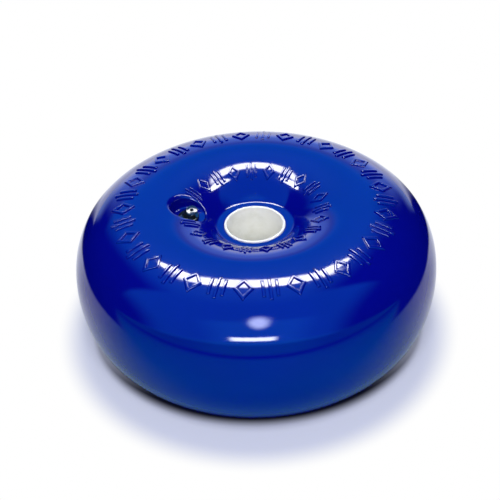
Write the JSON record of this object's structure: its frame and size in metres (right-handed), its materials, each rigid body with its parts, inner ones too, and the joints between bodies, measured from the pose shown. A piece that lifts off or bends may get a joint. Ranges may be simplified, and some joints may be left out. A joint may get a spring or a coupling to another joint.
{
  "type": "dock bumper wheel",
  "caption": "Inflated vinyl bumper wheel with crowned sides, a rigid plastic hub sleeve for an axle and a recessed inflation valve.",
  "frame": {"origin": "centre of the wheel on its axle, halfway between the two sides", "axes": "+Z along the axle through the marked side, -X towards the valve pocket"},
  "size_m": [0.2286, 0.2286, 0.0963],
  "materials": {
    "vinyl": "Blue flexible PVC vinyl, moulded, high gloss",
    "sleeve": "White rigid PVC tube, satin",
    "valve": "Dark butyl rubber valve plug, smooth"
  },
  "bodies": {
    "root": {"wheel_body": "vinyl", "hub_sleeve": "sleeve", "inflation_valve": "valve"}
  },
  "joints": []
}
